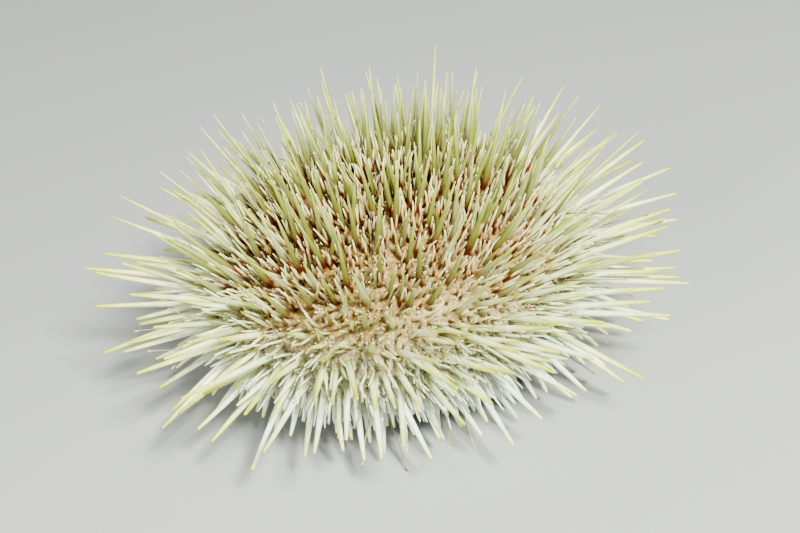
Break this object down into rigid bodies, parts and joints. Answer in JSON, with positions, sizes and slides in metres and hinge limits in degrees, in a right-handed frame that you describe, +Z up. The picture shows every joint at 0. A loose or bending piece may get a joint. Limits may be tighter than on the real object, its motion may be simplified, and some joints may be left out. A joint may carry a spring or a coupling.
{
  "type": "long-spined sea urchin, still museum model",
  "caption": "Life-size still model of a long-spined sea urchin: flattened round shell bristling with pale, green-rooted spines, with its mouth and teeth below.",
  "frame": {"origin": "on the floor, under the middle of the urchin's spread of spines", "axes": "+Z up through the top of the shell, -Y towards the front that the picture shows, +X to the right there"},
  "size_m": [0.1762, 0.1608, 0.0802],
  "materials": {
    "shell_and_spines": "limy calcite under a thin pinkish skin, matte; the spines fine-ribbed, olive green at the root and cream to white at the tip",
    "mouth_skin": "soft moist skin, pinkish beige, satin",
    "tooth": "smooth white calcite, slightly glossy"
  },
  "bodies": {
    "root": {"ambulacrum_1": "shell_and_spines", "ambulacrum_2": "shell_and_spines", "ambulacrum_3": "shell_and_spines", "ambulacrum_4": "shell_and_spines", "ambulacrum_5": "shell_and_spines", "interambulacrum_1": "shell_and_spines", "interambulacrum_2": "shell_and_spines", "interambulacrum_3": "shell_and_spines", "interambulacrum_4": "shell_and_spines", "interambulacrum_5": "shell_and_spines", "apical_disc": "shell_and_spines", "peristome": "mouth_skin", "tooth_1": "tooth", "tooth_2": "tooth", "tooth_3": "tooth", "tooth_4": "tooth", "tooth_5": "tooth"}
  },
  "joints": []
}
